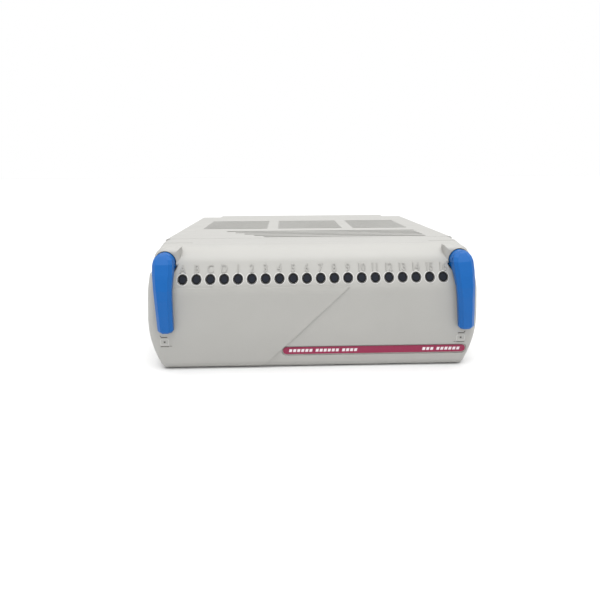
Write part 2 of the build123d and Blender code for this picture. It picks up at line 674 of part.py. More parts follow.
def latch_shaft(side):
    """One shaft, with the bayonet key across its rear end."""
    with BuildPart() as shaft:
        with BuildSketch(facing(SHAFT_FRONT)):
            with Locations((side * LATCH_X, LATCH_Z)):
                Circle(SHAFT_RADIUS)
        extrude(amount=-(SHAFT_END - SHAFT_FRONT))
        chamfer(shaft.edges().group_by(Axis.Y)[-1], 0.4)
        with BuildSketch(facing(KEY_FRONT)) as key:
            with Locations((side * LATCH_X, LATCH_Z)):
                SlotOverall(2 * KEY_HALF_LENGTH, 2 * KEY_HALF_HEIGHT)
                Circle(SHAFT_RADIUS + 0.6)
        extrude(amount=-(KEY_BACK - KEY_FRONT))
        with Locations((side * LATCH_X, y_at(PIN_DEPTH), LATCH_Z)):
            Cylinder(PIN_RADIUS + SCREW_FIT, 3 * SHAFT_RADIUS, rotation=(0, 90, 0), mode=Mode.SUBTRACT)
        with BuildSketch(facing(CLIP_FRONT)):
            with Locations((side * LATCH_X, LATCH_Z)):
                Circle(SHAFT_RADIUS + 1)
                Circle(CLIP_GROOVE_RADIUS, mode=Mode.SUBTRACT)
        extrude(amount=-CLIP_THICKNESS, mode=Mode.SUBTRACT)
    return shaft


def latch_pin(side):
    """The spring pin that ties a lever to its shaft."""
    with BuildPart() as pin:
        with Locations((side * LATCH_X, y_at(PIN_DEPTH), LATCH_Z)):
            Cylinder(PIN_RADIUS, 2 * HUB_RADIUS - 0.6, rotation=(0, 90, 0))
    return pin


def latch_clip(side):
    """The retaining ring in the groove of a shaft, open at the top."""
    with BuildPart() as clip:
        with BuildSketch(facing(CLIP_FRONT)):
            with Locations((side * LATCH_X, LATCH_Z)):
                Circle(CLIP_RADIUS)
                Circle(CLIP_GROOVE_RADIUS, mode=Mode.SUBTRACT)
            with Locations((side * LATCH_X, LATCH_Z + CLIP_RADIUS)):
                Rectangle(2 * CLIP_GROOVE_RADIUS - 0.5, 2 * CLIP_RADIUS, mode=Mode.SUBTRACT)
        extrude(amount=-CLIP_THICKNESS)
    return clip


def save_latch_piece(piece, label, side):
    """Turns a piece of the right latch outwards by its lean, then writes it."""
    shaft_line = Axis((side * LATCH_X, 0, LATCH_Z), (0, -1, 0))
    shape = piece.part.rotate(shaft_line, RIGHT_LATCH_LEAN if side > 0 else 0)
    shape.label = label
    export_step(shape, f"parts/{label}.step")


for name, side in SIDES:
    save_latch_piece(latch_lever(side), f"{name}_latch_lever", side)
    save_latch_piece(latch_shaft(side), f"{name}_latch_shaft", side)
    save_latch_piece(latch_pin(side), f"{name}_latch_pin", side)
    save_latch_piece(latch_clip(side), f"{name}_latch_clip", side)

with BuildPart() as latch_bushes:
    with BuildSketch(facing(NOTCH_DEPTH - BUSH_LENGTH)):
        add(latch_discs(TUNNEL_RADIUS - SCREW_FIT))
        add(latch_discs(SHAFT_HOLE_RADIUS), mode=Mode.SUBTRACT)
    extrude(amount=-(BUSH_LENGTH + BUSH_FLANGE))
    with BuildSketch(facing(NOTCH_DEPTH)):
        add(latch_discs(BUSH_FLANGE_RADIUS))
        add(latch_discs(SHAFT_HOLE_RADIUS), mode=Mode.SUBTRACT)
    extrude(amount=-BUSH_FLANGE)
save(latch_bushes, "latch_bushes")

# ---------------------------------------------------------------- lamps and label
def lamp_set(first, last):
    """Lamps whose flat faces lie just below the band."""
    with BuildPart() as lamps:
        with BuildSketch(Plane.YZ):
            add(face_profile(COVER_DEPTH, grow=-LAMP_SINK))
        extrude(amount=CASE_WIDTH / 2, both=True)
        with BuildSketch(facing(-5)):
            with Locations(*lamp_places(first, last)):
                Circle(LAMP_RADIUS)
        extrude(amount=-(LAMP_BACK + 5), mode=Mode.INTERSECT)
    return lamps


save(lamp_set(0, STATUS_LAMPS), "status_lamps")
save(lamp_set(STATUS_LAMPS, LAMP_COUNT), "channel_lamps")

with BuildPart() as lamp_holder:
    with BuildSketch(Plane.XY.offset(LOGIC_TOP)):
        with Locations((0, y_at((HOLDER_FRONT + HOLDER_BACK) / 2))):
            Rectangle(LAMP_COUNT * LAMP_PITCH - 1.0, HOLDER_BACK - HOLDER_FRONT)
    extrude(amount=HOLDER_TOP - LOGIC_TOP)
    chamfer(lamp_holder.edges().group_by(Axis.Z)[-1], 0.4)
    with BuildSketch(facing(0)):
        with Locations(*lamp_places(0, LAMP_COUNT)):
            Circle(LAMP_RADIUS + SCREW_FIT)
    extrude(amount=-LAMP_BACK, mode=Mode.SUBTRACT)
save(lamp_holder, "lamp_holder")

with BuildPart() as label_strip:
    with BuildSketch(facing(STRIP_FLOOR - STRIP_THICKNESS)):
        with Locations((STRIP_X, STRIP_Z)):
            SlotOverall(STRIP_LENGTH, STRIP_HEIGHT)
    extrude(amount=-STRIP_THICKNESS)
save(label_strip, "label_strip")


# ---------------------------------------------------------------- boards
def circuit_board(bottom, front_width):
    """A board with clipped front corners, holes for the spacers and room for the screw bosses."""
    with BuildPart() as board:
        with BuildSketch(Plane.XY.offset(bottom)) as plan:
            with Locations((0, y_at(BOARD_FRONT))):
                Rectangle(2 * BOARD_HALF_WIDTH, BOARD_BACK - BOARD_FRONT, align=(Align.CENTER, Align.MIN))
            chamfer(plan.vertices().group_by(Axis.Y)[0], front_width)
            with Locations(*spacer_places()):
                Circle(SPACER_STUD_RADIUS + FIT_GAP, mode=Mode.SUBTRACT)
            with Locations(*screw_places()):
                Circle(CASE_BOSS_RADIUS + 0.5, mode=Mode.SUBTRACT)
        extrude(amount=BOARD_THICKNESS)
    return board


save(circuit_board(FIELD_BOARD_Z, 3.0), "field_board")
save(circuit_board(LOGIC_BOARD_Z, 0.8), "logic_board")

with BuildPart() as board_spacers:
    with BuildSketch(Plane.XY.offset(FIELD_TOP)):
        with Locations(*spacer_places()):
            RegularPolygon(3.0, 6)
    extrude(amount=LOGIC_BOARD_Z - FIELD_TOP)
    with BuildSketch(Plane.XY.offset(WALL + 2)):
        with Locations(*spacer_places()):
            Circle(SPACER_STUD_RADIUS)
    extrude(amount=FIELD_TOP - WALL - 2)
    with BuildSketch(Plane.XY.offset(LOGIC_BOARD_Z - BOARD_SCREW_LENGTH - 1)):
        with Locations(*spacer_places()):
            Circle(SPACER_STUD_RADIUS + SCREW_FIT)
    extrude(amount=BOARD_SCREW_LENGTH + 2, mode=Mode.SUBTRACT)
save(board_spacers, "board_spacers")

with BuildPart() as board_screws:
    with BuildSketch(Plane.XY.offset(LOGIC_TOP)):
        with Locations(*spacer_places()):
            Circle(2.75)
    extrude(amount=1.7)
    with BuildSketch(Plane.XY.offset(LOGIC_BOARD_Z - BOARD_SCREW_LENGTH)):
        with Locations(*spacer_places()):
            Circle(SPACER_STUD_RADIUS)
    extrude(amount=LOGIC_TOP - LOGIC_BOARD_Z + BOARD_SCREW_LENGTH)
    with BuildSketch(Plane.XY.offset(LOGIC_TOP + 0.7)):
        with Locations(*spacer_places()):
            Rectangle(3.4, 0.7)
            Rectangle(0.7, 3.4)
    extrude(amount=2, mode=Mode.SUBTRACT)
save(board_screws, "board_screws")


# ---------------------------------------------------------------- plugs
def pin_field(rows, columns, x, z):
    """(x, z) of the pins of a plug."""
    return [(x + (i - (columns - 1) / 2) * PIN_PITCH, z + (j - (rows - 1) / 2) * PIN_PITCH)
            for i in range(columns) for j in range(rows)]


def plug_body(size, x, z, pins):
    """A plug housing: a stepped block with a square hole for every pin."""
    with BuildPart() as body:
        with BuildSketch(facing(PLUG_FRONT)):
            with Locations((x, z)):
                Rectangle(*size)
        extrude(amount=-(PLUG_BACK - PLUG_FRONT))
        chamfer(body.faces().sort_by(Axis.Y)[-1].edges(), 0.6)
        with BuildSketch(facing(PLUG_BACK - PIN_HOLE_DEPTH)):
            with Locations(*pins):
                Rectangle(PIN_HOLE, PIN_HOLE)
        extrude(amount=-2 * PIN_HOLE_DEPTH, mode=Mode.SUBTRACT)
    return body


def plug_contacts(pins):
    """The contacts standing on the floors of the plug's holes."""
    with BuildPart() as contacts:
        with BuildSketch(facing(PLUG_BACK - PIN_HOLE_DEPTH)):
            with Locations(*pins):
                Rectangle(CONTACT_WIDTH, CONTACT_WIDTH)
        extrude(amount=-(PIN_HOLE_DEPTH - 0.8))
    return contacts


def plug_tails(columns, x, board_top):
    """The row of solder tails between a plug and its board."""
    with BuildPart() as tails:
        with BuildSketch(Plane.XY.offset(board_top)):
            with Locations(*[((x + (i - (columns - 1) / 2) * PIN_PITCH), y_at(PLUG_FRONT - 1.5))
                             for i in range(columns)]):
                Rectangle(0.64, 3.0)
        extrude(amount=0.64)
    return tails


main_pins = pin_field(MAIN_ROWS, MAIN_COLUMNS, MAIN_PLUG_X, MAIN_PLUG_Z)
bus_pins = pin_field(BUS_ROWS, BUS_COLUMNS, BUS_PLUG_X, BUS_PLUG_Z)
save(plug_body(MAIN_PLUG, MAIN_PLUG_X, MAIN_PLUG_Z, main_pins), "field_plug_body")
save(plug_contacts(main_pins), "field_plug_contacts")
save(plug_tails(MAIN_COLUMNS, MAIN_PLUG_X, FIELD_TOP), "field_plug_tails")
save(plug_body(BUS_PLUG, BUS_PLUG_X, BUS_PLUG_Z, bus_pins), "bus_plug_body")
save(plug_contacts(bus_pins), "bus_plug_contacts")
save(plug_tails(BUS_COLUMNS, BUS_PLUG_X, LOGIC_TOP), "bus_plug_tails")


# ---------------------------------------------------------------- components
def blocks(places, size, bottom, edge=0.0):
    """Equal box-shaped components standing on (x, depth) places of a board."""
    width, length, height = size
    with BuildPart() as parts:
        with BuildSketch(Plane.XY.offset(bottom)):
            with Locations(*[(x, y_at(depth)) for x, depth in places]):
                Rectangle(width, length)
        extrude(amount=height)
        if edge:
            chamfer(parts.edges().group_by(Axis.Z)[-1], edge)
    return parts


def row(start, pitch, count, depth):
    """(x, depth) places in a row."""
    return [(start + pitch * i, depth) for i in range(count)]


save(blocks([(-24.0, 62.0)], (32.0, 21.0, 10.0), FIELD_TOP, 0.5), "power_converter")
save(blocks(row(4.0, 12.5, 4, 60.0), (9.5, 12.0, 9.0), FIELD_TOP, 0.6), "isolation_transformers")
save(blocks(row(-33.0, 9.4, 8, 84.0), (4.6, 6.4, 2.4), FIELD_TOP, 0.3), "optocouplers")
save(blocks(row(-37.5, 5.0, 16, 103.0), (3.4, 5.6, 2.2), FIELD_TOP, 0.3), "surge_protectors")
save(blocks([(-10.0, 52.0)], (20.0, 20.0, 1.6), LOGIC_TOP, 0.2), "processor_chip")
save(blocks([(22.0, 52.0), (22.0, 74.0)], (14.0, 14.0, 1.4), LOGIC_TOP, 0.2), "memory_chips")
save(blocks(row(-35.0, 10.0, 8, 26.0), (5.0, 6.2, 1.6), LOGIC_TOP, 0.2), "output_chips")
save(blocks([(-36.0, 58.0)], (11.0, 4.6, 3.6), LOGIC_TOP, 0.6), "clock_crystal")

with BuildPart() as capacitors:
    with BuildSketch(Plane.XY.offset(FIELD_TOP)):
        with Locations(*[(x, y_at(depth)) for x, depth in row(-30.0, 12.0, 6, 38.0)]):
            Circle(4.0)
    extrude(amount=11.0)
    fillet(capacitors.edges().group_by(Axis.Z)[-1], 0.6)
save(capacitors, "capacitors")

save(blocks([(0.0, LINK_DEPTH)], (LINK_LENGTH, 5.0, LINK_SPLIT - FIELD_TOP), FIELD_TOP, 0.3), "link_header")
save(blocks([(0.0, LINK_DEPTH)], (LINK_LENGTH, 5.0, LOGIC_BOARD_Z - LINK_SPLIT), LINK_SPLIT), "link_socket")

# ---------------------------------------------------------------- screws
with BuildPart() as case_screws:
    with BuildSketch(Plane.XY.offset(CASE_HEAD_SINK)):
        with Locations(*screw_places()):
            Circle(CASE_SCREW_RADIUS)
    extrude(amount=CASE_SCREW_TOP - CASE_HEAD_SINK)
    with Locations(*[(x, y, CASE_HEAD_SINK + CASE_HEAD_HEIGHT / 2) for x, y in screw_places()]):
        Cone(CASE_HEAD_RADIUS, CASE_SCREW_RADIUS, CASE_HEAD_HEIGHT)
    with BuildSketch(Plane.XY.offset(CASE_HEAD_SINK - 0.1)):
        with Locations(*screw_places()):
            Rectangle(3.2, 0.7)
            Rectangle(0.7, 3.2)
    extrude(amount=0.9, mode=Mode.SUBTRACT)
save(case_screws, "case_screws")

with BuildPart() as rear_screws:
    with BuildSketch(facing(REAR_BOSS_FRONT + 1.0)):
        with Locations(*mirrored(REAR_SCREWS)):
            Circle(REAR_SCREW_RADIUS)
    extrude(amount=-(CASE_DEPTH - 0.2 - REAR_BOSS_FRONT - 1.0))
    with BuildSketch(facing(CASE_DEPTH - REAR_HEAD_HEIGHT)):
        with Locations(*mirrored(REAR_SCREWS)):
            Circle(REAR_HEAD_RADIUS)
    extrude(amount=-(REAR_HEAD_HEIGHT - 0.2))
    with BuildSketch(facing(CASE_DEPTH - 0.9)):
        with Locations(*mirrored(REAR_SCREWS)):
            Rectangle(2.6, 0.6)
            Rectangle(0.6, 2.6)
    extrude(amount=-2, mode=Mode.SUBTRACT)
save(rear_screws, "rear_screws")
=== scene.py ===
"""Looks of a plug-in output module: a flat grey case with vent grids, a band of twenty round
lamps, a printed strip and two blue turning latches. Metres throughout."""

from math import pi, radians

import bpy
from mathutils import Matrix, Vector
from mathutils.bvhtree import BVHTree


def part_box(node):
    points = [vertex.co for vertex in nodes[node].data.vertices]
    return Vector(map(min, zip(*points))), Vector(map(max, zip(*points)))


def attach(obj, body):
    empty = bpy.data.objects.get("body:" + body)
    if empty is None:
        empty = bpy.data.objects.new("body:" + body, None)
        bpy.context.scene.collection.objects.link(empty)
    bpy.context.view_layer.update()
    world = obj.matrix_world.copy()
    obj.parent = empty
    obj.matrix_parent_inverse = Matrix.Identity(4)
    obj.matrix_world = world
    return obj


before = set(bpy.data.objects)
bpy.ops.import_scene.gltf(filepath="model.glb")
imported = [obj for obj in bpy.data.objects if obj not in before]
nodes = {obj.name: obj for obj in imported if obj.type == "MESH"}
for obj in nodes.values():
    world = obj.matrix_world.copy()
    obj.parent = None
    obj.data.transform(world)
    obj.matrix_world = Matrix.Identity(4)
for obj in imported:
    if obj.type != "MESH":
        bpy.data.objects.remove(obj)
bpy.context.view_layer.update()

MM = 0.001

# ---------------------------------------------------------------- sizes of the trim
LAMP_PITCH = 5.0 * MM
LAMP_COUNT = 20
LAMP_ROW_HEIGHT = 34.0 * MM
LENS_EDGE = 1.12 * MM           # the lens is painted nearly black outside this radius, as shade in the gap round it
# a black ring on the edge of each lamp window: painted shade of the gap round the lens
GAP_SHADE_RADIUS = 1.78 * MM
GAP_SHADE_THICKNESS = 0.09 * MM
RIM_RADIUS = 2.0 * MM
RIM_THICKNESS = 0.12 * MM
CHARACTER_SIZE = 3.9 * MM
CHARACTER_FOOT = 36.3 * MM
CHARACTER_RISE = 0.3 * MM
CHARACTER_BEVEL = 0.08 * MM
CHARACTER_WIDTH = 0.86          # of the font's own width
LAMP_NAMES = ["A", "B", "C", "D"] + [str(number) for number in range(1, 17)]
SIGN_X = 55.1 * MM
SIGN_CENTRE = 11.1 * MM
SIGN_WIDTH = 3.1 * MM
SIGN_HEIGHT = 2.2 * MM
SIGN_LINE = 0.2 * MM
SIGN_RISE = 0.1 * MM
PRINT_HEIGHT = 1.15 * MM
PRINT_RISE = 0.03 * MM
TRIM_SINK = 0.05 * MM           # how far trim reaches into the surface that it lies on
FLOOR_LEVEL = -0.05 * MM        # just clear of the case, which would flicker through it


# ---------------------------------------------------------------- shader expressions
class Value:
    """A socket that grows Math nodes when it stands in an expression."""

    def __init__(self, graph, socket):
        self.graph = graph
        self.socket = socket

    def math(self, operation, first, second):
        return self.graph.add("ShaderNodeMath", {"operation": operation}, {0: first, 1: second})

    def __add__(self, other):
        return self.math("ADD", self, other)

    def __radd__(self, other):
        return self.math("ADD", other, self)

    def __sub__(self, other):
        return self.math("SUBTRACT", self, other)

    def __rsub__(self, other):
        return self.math("SUBTRACT", other, self)

    def __mul__(self, other):
        return self.math("MULTIPLY", self, other)

    def __rmul__(self, other):
        return self.math("MULTIPLY", other, self)


class Graph:
    """A node tree under construction."""

    tree = None

    def add(self, kind, settings=None, inputs=None, output=0):
        """A node of that kind. Settings come first, then the values or links of its sockets."""
        node = self.tree.nodes.new(kind)
        for name, value in (settings or {}).items():
            if name == "stops":
                self.set_stops(node.color_ramp, value)
            else:
                setattr(node, name, value)
        for socket, value in (inputs or {}).items():
            if isinstance(value, Value):
                self.tree.links.new(value.socket, node.inputs[socket])
            else:
                node.inputs[socket].default_value = value
        return Value(self, node.outputs[output])

    @staticmethod
    def set_stops(ramp, stops):
        while len(ramp.elements) < len(stops):
            ramp.elements.new(0.5)
        for element, (position, level) in zip(ramp.elements, stops):
            element.position = position
            element.color = (level, level, level, 1)


class Finish(Graph):
    """One material under construction."""

    def __init__(self, name, **shader_values):
        self.material = bpy.data.materials.new(name)
        self.material.use_nodes = True
        self.tree = self.material.node_tree
        self.shader = self.tree.nodes["Principled BSDF"]
        for socket, value in shader_values.items():
            self.shader.inputs[socket.replace("_", " ")].default_value = value
        self.place = self.add("ShaderNodeTexCoord", output="Object")

    def noise(self, scale, detail=3.0, roughness=0.5, place=None):
        """Noise whose features are about 1 / scale metres across, from 0 to 1."""
        return self.add("ShaderNodeTexNoise", {}, {
            "Vector": place or self.place, "Scale": scale, "Detail": detail, "Roughness": roughness})

    def ramp(self, value, *stops):
        """Value read off a ramp of (position, level) stops."""
        return self.add("ShaderNodeValToRGB", {"stops": stops}, {"Fac": value})

    def blend(self, amount, low, high):
        """Colour between low and high."""
        return self.add("ShaderNodeMix", {"data_type": "RGBA"}, {0: amount, 6: low, 7: high}, output=2)

    def stretch(self, x, y, z):
        """Object coordinates scaled along each axis."""
        return self.add("ShaderNodeVectorMath", {"operation": "MULTIPLY"}, {0: self.place, 1: (x, y, z)})

    def axis(self, name):
        """One object coordinate, in metres."""
        return self.add("ShaderNodeSeparateXYZ", {}, {"Vector": self.place}, output=name)

    def feed(self, socket, value):
        self.tree.links.new(value.socket, self.shader.inputs[socket])

    def bump(self, height, distance, strength=1.0):
        """Height from 0 to 1 becomes a bump this deep in metres."""
        self.feed("Normal", self.add("ShaderNodeBump", {}, {
            "Height": height, "Distance": distance, "Strength": strength}, output="Normal"))


def paint(red, green, blue, level=1.0):
    """A screen colour from 0 to 255 as linear light, scaled by level."""
    linear = []
    for part in (red, green, blue):
        part = part / 255
        linear.append(level * (part / 12.92 if part <= 0.04045 else ((part + 0.055) / 1.055) ** 2.4))
    return (*linear, 1)


def shade(colour, level):
    """A colour made lighter or darker."""
    return (*[min(1, part * level) for part in colour[:3]], 1)


# ---------------------------------------------------------------- finishes
def moulded_plastic(name, colour, roughness, grain_scale=3000, grain_depth=0.04 * MM, tint=0.05, gloss=0.5):
    """Spark-textured moulding with faint cloudiness, handling marks and fine scuffs."""
    finish = Finish(name, Specular_IOR_Level=gloss)
    grain = finish.noise(grain_scale, 2.0, 0.6)
    cloud = finish.noise(45, 2.0)
    handling = finish.ramp(finish.noise(120, 5.0, 0.7), (0.45, 0.0), (0.75, 1.0))
    scuff = finish.ramp(finish.noise(1.0, 4.0, 0.6, finish.stretch(900, 160, 420)), (0.68, 0.0), (0.8, 1.0))
    tone = cloud * 0.7 + grain * 0.3
    base = finish.blend(tone, shade(colour, 1 - tint), shade(colour, 1 + tint))
    base = finish.blend(handling * 0.10, base, shade(colour, 0.82))
    finish.feed("Base Color", finish.blend(scuff * 0.12, base, shade(colour, 1.25)))
    finish.feed("Roughness", roughness + grain * 0.12 - handling * 0.10 + scuff * 0.08)
    finish.bump(grain + scuff * 0.25, grain_depth, 0.5)
    return finish.material


def turned_metal(name, colour, roughness, stretch=(600, 60, 600)):
    """Bright metal with fine tool marks and a little tarnish."""
    finish = Finish(name, Metallic=1.0)
    marks = finish.noise(6.0, 4.0, 0.6, finish.stretch(*stretch))
    tarnish = finish.ramp(finish.noise(220, 4.0, 0.65), (0.4, 0.0), (0.75, 1.0))
    base = finish.blend(marks, shade(colour, 0.88), shade(colour, 1.08))
    finish.feed("Base Color", finish.blend(tarnish * 0.3, base, shade(colour, 0.6)))
    finish.feed("Roughness", roughness + marks * 0.12 + tarnish * 0.15)
    finish.bump(marks, 0.01 * MM, 0.4)
    return finish.material


def smoked_lens():
    """Dark moulded lens with a fine prismatic pattern inside and its edge painted blacker as shade of the
    gap round it.
    """
    finish = Finish("smoked_lens", Specular_IOR_Level=0.15, IOR=1.5)
    cells = finish.add("ShaderNodeTexVoronoi", {}, {"Vector": finish.place, "Scale": 3400.0})
    haze = finish.noise(1500, 3.0)
    base = finish.blend(cells * 0.8 + haze * 0.2, paint(5, 7, 13), paint(28, 34, 46))
    pitches = finish.axis("X") * (1 / LAMP_PITCH)
    across = finish.add("ShaderNodeMath", {"operation": "FRACT"}, {0: pitches}) - 0.5
    up = (finish.axis("Z") - LAMP_ROW_HEIGHT) * (1 / LAMP_PITCH)
    radius = finish.add("ShaderNodeMath", {"operation": "SQRT"}, {0: across * across + up * up})
    edge = LENS_EDGE / LAMP_PITCH
    # painted shade: the lens is made near-black towards its edge for the shaded gap round it
    outside = finish.ramp(radius, (edge, 0.0), (edge * 1.08, 1.0))
    finish.feed("Base Color", finish.blend(outside, base, paint(4, 4, 6)))
    finish.feed("Roughness", 0.3 + haze * 0.25)
    finish.bump(cells, 0.05 * MM, 0.5)
    return finish.material


def printed_film(name, colour):
    """Satin printed film: a faint dot screen and soft rubbing."""
    finish = Finish(name)
    dots = finish.noise(5200, 1.0)
    rub = finish.ramp(finish.noise(260, 5.0, 0.7), (0.5, 0.0), (0.8, 1.0))
    base = finish.blend(dots, shade(colour, 0.88), shade(colour, 1.1))
    finish.feed("Base Color", finish.blend(rub * 0.2, base, shade(colour, 1.5)))
    finish.feed("Roughness", 0.34 + rub * 0.2 + dots * 0.05)
    finish.bump(dots, 0.01 * MM, 0.3)
    return finish.material


def circuit_laminate():
    """Green solder mask over a weave, with copper tracks showing through."""
    finish = Finish("circuit_laminate", Coat_Roughness=0.2)
    tracks_per_metre, threads_per_metre = 620.0, 5200.0
    across, along = finish.axis("X"), finish.axis("Y")
    lanes = finish.add("ShaderNodeMath", {"operation": "FRACT"}, {0: across * tracks_per_metre})
    track = finish.ramp(lanes, (0.30, 0.0), (0.36, 1.0), (0.62, 1.0), (0.68, 0.0))
    zones = finish.ramp(finish.noise(70, 1.0), (0.5, 0.0), (0.52, 1.0))
    wave = finish.add("ShaderNodeMath", {"operation": "SINE"}, {0: along * threads_per_metre})
    weave = wave * 0.5 + 0.5
    base = finish.blend(weave * 0.3, paint(16, 74, 44), paint(24, 92, 54))
    finish.feed("Base Color", finish.blend(track * zones, base, paint(44, 122, 66)))
    finish.feed("Roughness", 0.32 + weave * 0.06 + track * 0.05)
    finish.bump(track * zones, 0.03 * MM, 0.5)
    return finish.material


CASE_GREY = paint(163, 162, 158)
LATCH_BLUE = paint(3, 88, 160)

case_plastic = moulded_plastic("case_plastic", CASE_GREY, 0.36)
# painted shade: letters of the case's own plastic, coloured darker for the shading on their raised strokes
character_painted_shade_grey = moulded_plastic("character_painted_shade_grey", paint(152, 151, 147), 0.42)
# painted shade: dark grey for the shadows in the padlock sign's moulded lines
painted_shade_grey = moulded_plastic("painted_shade_grey", paint(84, 82, 78), 0.5)
# painted highlight: a pale grey for the light caught on the chamfered rims round the lamps and on the
# raised padlock outlines
painted_highlight_grey = moulded_plastic("painted_highlight_grey", paint(206, 205, 202), 0.42)
latch_blue = moulded_plastic("latch_blue", LATCH_BLUE, 0.34, 2600, 0.03 * MM, tint=0.06, gloss=0.28)
plug_black = moulded_plastic("plug_black", paint(44, 45, 48), 0.5, tint=0.15)
# the lamp holder's own black, also used for the rings of painted gap shade round the lamps
holder_black = moulded_plastic("holder_black", paint(26, 26, 28), 0.55, tint=0.15)
chip_black = moulded_plastic("chip_black", paint(34, 34, 37), 0.6, 4000, tint=0.15)
winding_yellow = moulded_plastic("winding_yellow", paint(205, 172, 78), 0.5)
bush_white = moulded_plastic("bush_white", paint(232, 230, 222), 0.4)
shaft_steel = turned_metal("shaft_steel", paint(190, 192, 196), 0.24)
screw_steel = turned_metal("screw_steel", paint(176, 178, 182), 0.3, (500, 500, 90))
can_aluminium = turned_metal("can_aluminium", paint(205, 207, 211), 0.28, (500, 500, 60))
spacer_brass = turned_metal("spacer_brass", paint(206, 172, 100), 0.26, (500, 500, 60))
contact_gold = turned_metal("contact_gold", paint(226, 186, 96), 0.2, (300, 80, 300))
tail_tin = turned_metal("tail_tin", paint(200, 200, 202), 0.3, (300, 80, 300))
lens = smoked_lens()
label_magenta = printed_film("label_magenta", paint(136, 12, 62))
label_white = printed_film("label_white", paint(222, 214, 218))
board_green = circuit_laminate()

FINISHES = {
    case_plastic: ("front_cover", "top_shell", "bottom_shell", "rear_panel"),
    latch_blue: ("left_latch_lever", "right_latch_lever"),
    shaft_steel: ("left_latch_shaft", "right_latch_shaft", "left_latch_pin", "right_latch_pin"),
    screw_steel: ("left_latch_clip", "right_latch_clip", "case_screws", "rear_screws", "board_screws"),
    bush_white: ("latch_bushes",),
    lens: ("status_lamps", "channel_lamps"),
    holder_black: ("lamp_holder",),
    label_magenta: ("label_strip",),
    board_green: ("field_board", "logic_board"),
    spacer_brass: ("board_spacers",),
    plug_black: ("field_plug_body", "bus_plug_body", "link_header", "link_socket"),
    contact_gold: ("field_plug_contacts", "bus_plug_contacts"),
    tail_tin: ("field_plug_tails", "bus_plug_tails"),
    chip_black: ("optocouplers", "surge_protectors", "processor_chip", "memory_chips", "output_chips",
                 "power_converter"),
    winding_yellow: ("isolation_transformers",),
    can_aluminium: ("clock_crystal", "capacitors"),
}
for material, names in FINISHES.items():
    for name in names:
        for surface in nodes[name].material_slots:
            surface.material = material


# ---------------------------------------------------------------- making pieces
def new_piece(name, vertices, faces, material, body="case"):
    """A mesh piece of the object, riding on a body and taking its finish from a slot."""
    mesh = bpy.data.meshes.new(name)
    mesh.from_pydata(vertices, [], faces)
    mesh.update()
    mesh.materials.append(material)
    return keep_piece(mesh, name, body)


def keep_piece(mesh, name, body="case"):
    piece = bpy.data.objects.new(name, mesh)
    bpy.context.scene.collection.objects.link(piece)
    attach(piece, body)
    return piece


def surface_of(name):
    """The surface of a CAD node, to lay trim on."""
    mesh = nodes[name].data
    return BVHTree.FromPolygons([v.co for v in mesh.vertices], [list(p.vertices) for p in mesh.polygons])


cover_surface = surface_of("front_cover")
strip_surface = surface_of("label_strip")


def lay_on(mesh, surface):
    """Moves a flat design, drawn in X and Z with its rise in Y, onto the surface behind it."""
    for vertex in mesh.vertices:
        x, rise, z = vertex.co
        hit = surface.ray_cast(Vector((x, -0.1, z)), Vector((0, 1, 0)))[0]
        vertex.co = (x, hit.y - rise, z)


def plain_mesh(maker, name):
    """The mesh that an object makes once its modifiers are evaluated; the object is dropped."""
    bpy.context.view_layer.update()
    evaluated = maker.evaluated_get(bpy.context.evaluated_depsgraph_get())
    mesh = bpy.data.meshes.new_from_object(evaluated)
    mesh.name = name
    bpy.data.objects.remove(maker)
    return mesh


def bar(x, z, length, height, rise, slant=0.0):
    """Vertices and faces of a small raised bar with sloping sides, drawn flat."""
    inset = min(rise, height / 4, length / 4)
    corners = []
    for level, edge in ((-TRIM_SINK, 0.0), (rise, inset)):
        for sx, sz in ((-1, -1), (1, -1), (1, 1), (-1, 1)):
            corners.append((x + sx * (length / 2 - edge) + slant * sz, level, z + sz * (height / 2 - edge)))
    sides = [(i, (i + 1) % 4, 4 + (i + 1) % 4, 4 + i) for i in range(4)]
    return corners, sides + [(4, 5, 6, 7), (3, 2, 1, 0)]


def bars(name, places, material, surface):
    """One piece made of several bars laid on a surface."""
    vertices, faces = [], []
    for place in places:
        corners, sides = bar(*place)
        faces += [tuple(len(vertices) + index for index in side) for side in sides]
        vertices += corners
    piece = new_piece(name, vertices, faces, material)
    lay_on(piece.data, surface)
    return piece


class Shape(Graph):
    """A Geometry Nodes tree whose sizes are named inputs of its modifier."""

    def __init__(self, name, **sizes):
        self.tree = bpy.data.node_groups.new(name, "GeometryNodeTree")
        self.tree.interface.new_socket("Geometry", in_out="OUTPUT", socket_type="NodeSocketGeometry")
        self.sockets = {}
        for size, value in sizes.items():
            kind = "NodeSocketInt" if isinstance(value, int) else "NodeSocketFloat"
            socket = self.tree.interface.new_socket(size, in_out="INPUT", socket_type=kind)
            self.sockets[size] = (socket.identifier, value)
        self.entry = self.tree.nodes.new("NodeGroupInput")
        self.exit = self.tree.nodes.new("NodeGroupOutput")

    def size(self, name):
        """One of the tree's sizes as a value."""
        return Value(self, self.entry.outputs[name])

    def vector(self, x=0.0, y=0.0, z=0.0):
        return self.add("ShaderNodeCombineXYZ", {}, {"X": x, "Y": y, "Z": z})

    def row_of(self, shape, count, step, start):
        """Copies of a shape on a straight row."""
        line = self.add("GeometryNodeMeshLine", {}, {
            "Count": count, "Start Location": start, "Offset": step})
        return self.add("GeometryNodeInstanceOnPoints", {}, {"Points": line, "Instance": shape})

    def mesh(self, shape, material):
        """The finished tree's shape as a plain mesh."""
        real = self.add("GeometryNodeRealizeInstances", {}, {"Geometry": shape})
        coated = self.add("GeometryNodeSetMaterial", {}, {"Geometry": real, "Material": material})
        self.tree.links.new(coated.socket, self.exit.inputs["Geometry"])
        maker = bpy.data.objects.new(self.tree.name, bpy.data.meshes.new(self.tree.name))
        bpy.context.scene.collection.objects.link(maker)
        modifier = maker.modifiers.new("shape", "NODES")
        modifier.node_group = self.tree
        for identifier, value in self.sockets.values():
            modifier[identifier] = value
        return plain_mesh(maker, self.tree.name)
